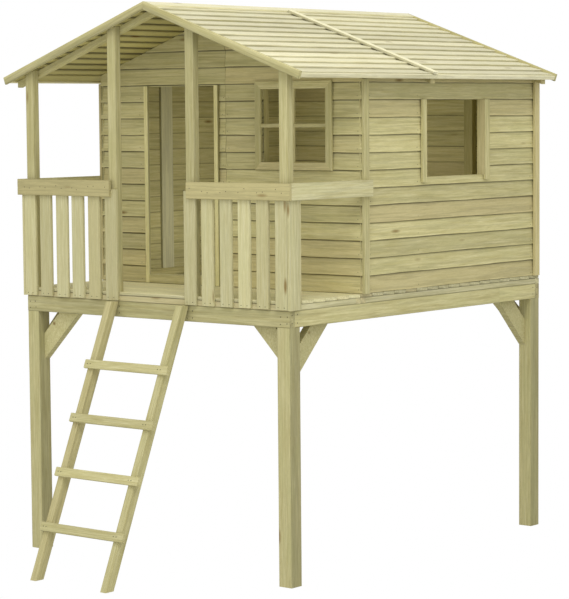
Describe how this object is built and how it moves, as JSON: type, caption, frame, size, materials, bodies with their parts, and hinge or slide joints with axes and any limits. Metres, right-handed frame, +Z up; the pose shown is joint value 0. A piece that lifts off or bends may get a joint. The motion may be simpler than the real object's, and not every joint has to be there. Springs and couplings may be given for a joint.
{
  "type": "stilt playhouse",
  "caption": "Gabled wooden hut with a porch, picket railings and windows on a braced platform on tall posts, reached by a leaning ladder.",
  "frame": {"origin": "on the ground, below the middle of the whole object's box, ladder and roof overhang included", "axes": "+Z up, -Y towards the entrance and the ladder, +X to the right as seen from the front, the side with the window"},
  "size_m": [2.288, 3.2054, 3.25],
  "materials": {
    "post": "sawn, pressure-impregnated",
    "beam": "sawn, pressure-impregnated",
    "deck": "planed, pressure-impregnated",
    "rail": "planed, rounded edges",
    "wall": "sawn weatherboard",
    "trim": "planed",
    "roof": "sawn lapped boards",
    "ladder": "planed, rounded edges"
  },
  "bodies": {
    "root": {"barge_front_left": "trim", "barge_front_right": "trim", "barge_rear_left": "trim", "barge_rear_right": "trim", "beam_front": "beam", "beam_left": "beam", "beam_rear": "beam", "beam_right": "beam", "brace_front_left_a": "post", "brace_front_left_b": "post", "brace_front_right_a": "post", "brace_front_right_b": "post", "brace_rear_left_a": "post", "brace_rear_left_b": "post", "brace_rear_right_a": "post", "brace_rear_right_b": "post", "corner_front_left": "trim", "corner_front_right": "trim", "corner_rear_left": "trim", "corner_rear_right": "trim", "door_jamb_left": "trim", "door_jamb_right": "trim", "door_threshold": "deck", "front_wall_door": "wall", "front_wall_window": "wall", "front_window_frame": "trim", "house_floor": "deck", "ladder_rail_left": "ladder", "ladder_rail_right": "ladder", "ladder_rung_1": "ladder", "ladder_rung_2": "ladder", "ladder_rung_3": "ladder", "ladder_rung_4": "ladder", "left_wall": "wall", "porch_deck": "deck", "porch_floor_frame": "beam", "porch_post_corner_left": "trim", "porch_post_corner_right": "trim", "porch_post_entrance_left": "trim", "porch_post_entrance_right": "trim", "post_front_left": "post", "post_front_right": "post", "post_rear_left": "post", "post_rear_right": "post", "railing_left": "rail", "railing_right": "rail", "rear_wall": "wall", "ridge_cap": "roof", "right_wall": "wall", "roof_front_left": "roof", "roof_front_right": "roof", "roof_rear_left": "roof", "roof_rear_right": "roof", "side_rail_left": "rail", "side_rail_right": "rail", "side_window_trim_front": "trim", "side_window_trim_rear": "trim"}
  },
  "joints": []
}
